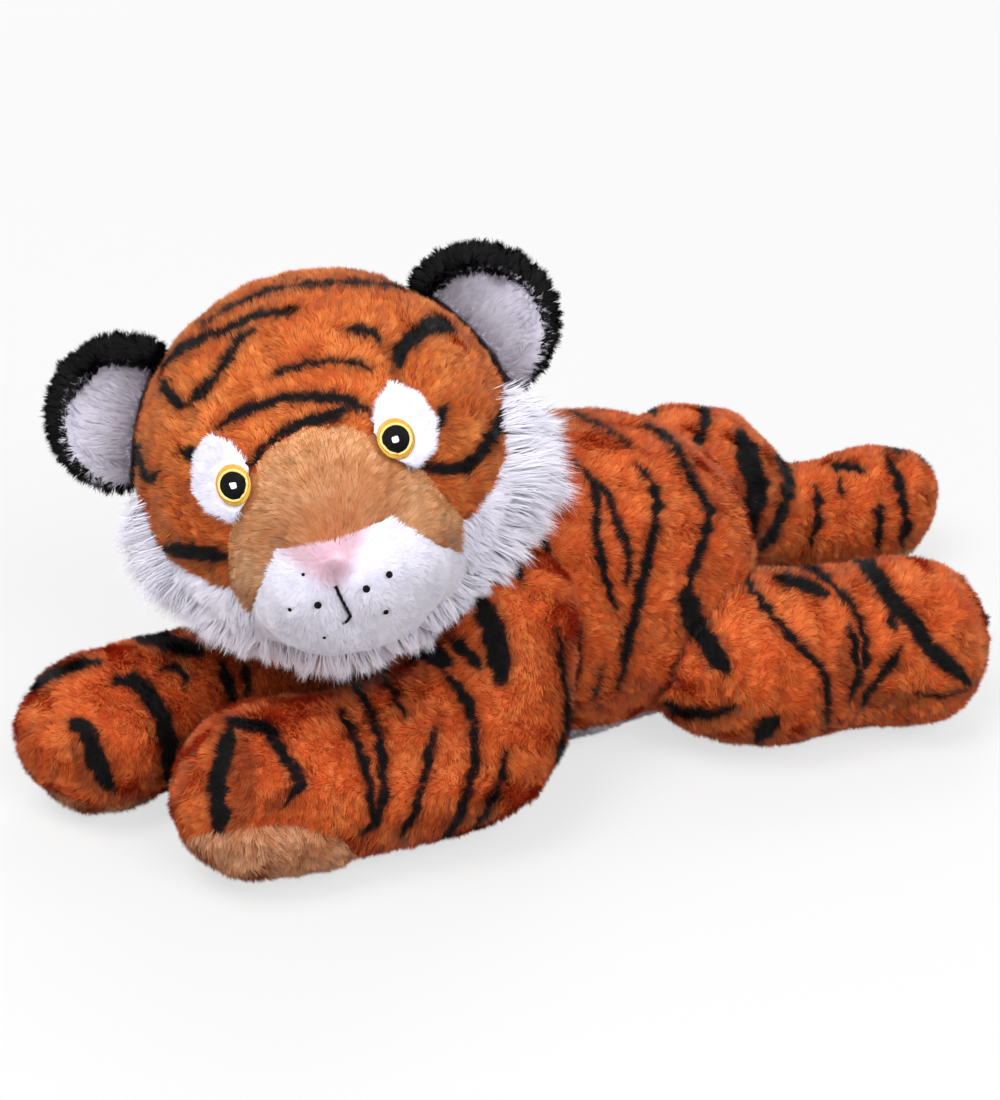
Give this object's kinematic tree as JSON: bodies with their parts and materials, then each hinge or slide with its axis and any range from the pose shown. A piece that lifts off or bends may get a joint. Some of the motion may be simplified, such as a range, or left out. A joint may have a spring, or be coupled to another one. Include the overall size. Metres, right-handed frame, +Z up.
{
  "type": "plush tiger",
  "caption": "Lying stuffed tiger of sewn pile fabric over fibre filling, with a turned head, cupped ears, stretched legs and a tail that swing at their sewn roots.",
  "frame": {"origin": "on the floor below the middle of the torso, at the flat of the belly panel", "axes": "+Z up from the floor, -Y towards the chest and front paws, +X to the tiger's own left"},
  "size_m": [0.1607, 0.3361, 0.1663],
  "materials": {
    "orange_plush": "short pile plush, dull, orange with printed black stripes",
    "white_plush": "short pile plush, dull, white",
    "long_white_plush": "long pile plush, dull, white",
    "tan_plush": "short pile plush, dull, tan",
    "sole_plush": "short pile plush, dull, reddish tan",
    "black_plush": "short pile plush, dull, black",
    "fibre_filling": "loose fibre filling, hidden inside the sewn skin",
    "amber_thread": "satin stitched thread, slight sheen, amber",
    "black_thread": "satin stitched thread, slight sheen, black"
  },
  "bodies": {
    "torso": {"torso_side_left": "orange_plush", "torso_side_right": "orange_plush", "belly_panel": "white_plush", "torso_filling": "fibre_filling"},
    "head": {"head_crown": "orange_plush", "snout_bridge": "tan_plush", "muzzle_front": "white_plush", "cheek_panel": "white_plush", "head_filling": "fibre_filling", "eye_patch_left": "white_plush", "eye_iris_left": "amber_thread", "eye_pupil_left": "black_thread", "eye_patch_right": "white_plush", "eye_iris_right": "amber_thread", "eye_pupil_right": "black_thread", "ruff_left": "long_white_plush", "ruff_right": "long_white_plush"},
    "ear_left": {"ear_back_left": "black_plush", "ear_lining_left": "white_plush"},
    "ear_right": {"ear_back_right": "black_plush", "ear_lining_right": "white_plush"},
    "tail": {"tail_skin": "orange_plush", "tail_filling": "fibre_filling"},
    "front_leg_left": {"front_leg_left_skin": "orange_plush", "front_leg_left_sole": "sole_plush", "front_leg_left_filling": "fibre_filling"},
    "front_leg_right": {"front_leg_right_skin": "orange_plush", "front_leg_right_sole": "sole_plush", "front_leg_right_filling": "fibre_filling"},
    "hind_leg_left": {"hind_leg_left_skin": "orange_plush", "hind_leg_left_sole": "sole_plush", "hind_leg_left_filling": "fibre_filling"},
    "hind_leg_right": {"hind_leg_right_skin": "orange_plush", "hind_leg_right_sole": "sole_plush", "hind_leg_right_filling": "fibre_filling"}
  },
  "joints": [
    {"name": "neck_turn", "type": "hinge", "parent": "torso", "child": "head", "pos_m": [0, -0.092, 0.11], "axis": [0, 0, 1], "range_deg": [-30, 0]},
    {"name": "front_leg_left_splay", "type": "hinge", "parent": "torso", "child": "front_leg_left", "pos_m": [0.046, -0.026, 0.04], "axis": [0, 0, 1], "range_deg": [0, 20]},
    {"name": "front_leg_right_splay", "type": "hinge", "parent": "torso", "child": "front_leg_right", "pos_m": [-0.046, -0.024, 0.04], "axis": [0, 0, 1], "range_deg": [-20, 0]},
    {"name": "hind_leg_left_splay", "type": "hinge", "parent": "torso", "child": "hind_leg_left", "pos_m": [0.05, -0.008, 0.03], "axis": [0, 0, 1], "range_deg": [-18, 0]},
    {"name": "hind_leg_right_splay", "type": "hinge", "parent": "torso", "child": "hind_leg_right", "pos_m": [-0.05, 0.01, 0.03], "axis": [0, 0, 1], "range_deg": [0, 18]},
    {"name": "tail_swing", "type": "hinge", "parent": "torso", "child": "tail", "pos_m": [0, 0.0431, 0.0301], "axis": [0, 0, 1], "range_deg": [-8, 14]},
    {"name": "ear_left_fold", "type": "hinge", "parent": "head", "child": "ear_left", "pos_m": [-0.00956, -0.04202, 0.13719], "axis": [-0.6247, -0.462, 0.6295], "range_deg": [0, 18], "stiffness_Nm_per_rad": 0.08},
    {"name": "ear_right_fold", "type": "hinge", "parent": "head", "child": "ear_right", "pos_m": [-0.04248, -0.13088, 0.11341], "axis": [0.3029, -0.4066, -0.8619], "range_deg": [0, 18], "stiffness_Nm_per_rad": 0.08}
  ]
}
